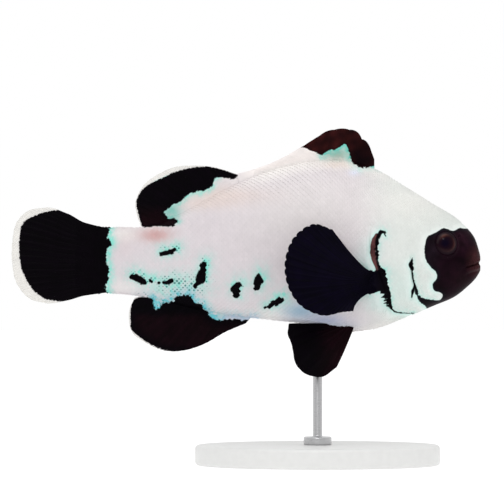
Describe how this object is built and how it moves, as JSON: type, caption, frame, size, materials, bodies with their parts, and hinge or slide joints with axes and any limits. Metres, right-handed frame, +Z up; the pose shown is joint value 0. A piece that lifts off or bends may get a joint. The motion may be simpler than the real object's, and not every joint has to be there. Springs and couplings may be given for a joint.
{
  "type": "display model of an ocellaris clownfish",
  "caption": "Life-size still model of a black and white ocellaris clownfish, swimming level on a plain display stand with an oval base and a thin post.",
  "frame": {"origin": "on the floor, at the middle of the underside of the model's bounding box", "axes": "+X towards the fish's nose, +Y towards its left side, +Z up"},
  "size_m": [0.0801, 0.032, 0.0578],
  "materials": {
    "pale_skin": "scaled fish skin, pearly white with a faint pink, bluish round the dark marks, moist sheen",
    "dark_skin": "smooth brown-black skin of the face, soft sheen",
    "fin": "black rayed fin membrane with clear margins, soft sheen",
    "eye": "glossy eye, brown-orange ring round a violet-black pupil",
    "stand_paint": "satin light grey paint",
    "stand_steel": "brushed steel rod with a turned collar"
  },
  "bodies": {
    "root": {"head": "dark_skin", "lower_jaw": "dark_skin", "gill_cover_left": "pale_skin", "gill_cover_right": "pale_skin", "trunk": "pale_skin", "tail_stalk": "pale_skin", "eye_left": "eye", "eye_right": "eye", "dorsal_fin_spiny": "fin", "dorsal_fin_soft": "fin", "anal_fin": "fin", "tail_fin": "fin", "pectoral_fin_left": "fin", "pectoral_fin_right": "fin", "pelvic_fin_left": "fin", "pelvic_fin_right": "fin", "stand_base": "stand_paint", "stand_post": "stand_steel"}
  },
  "joints": []
}
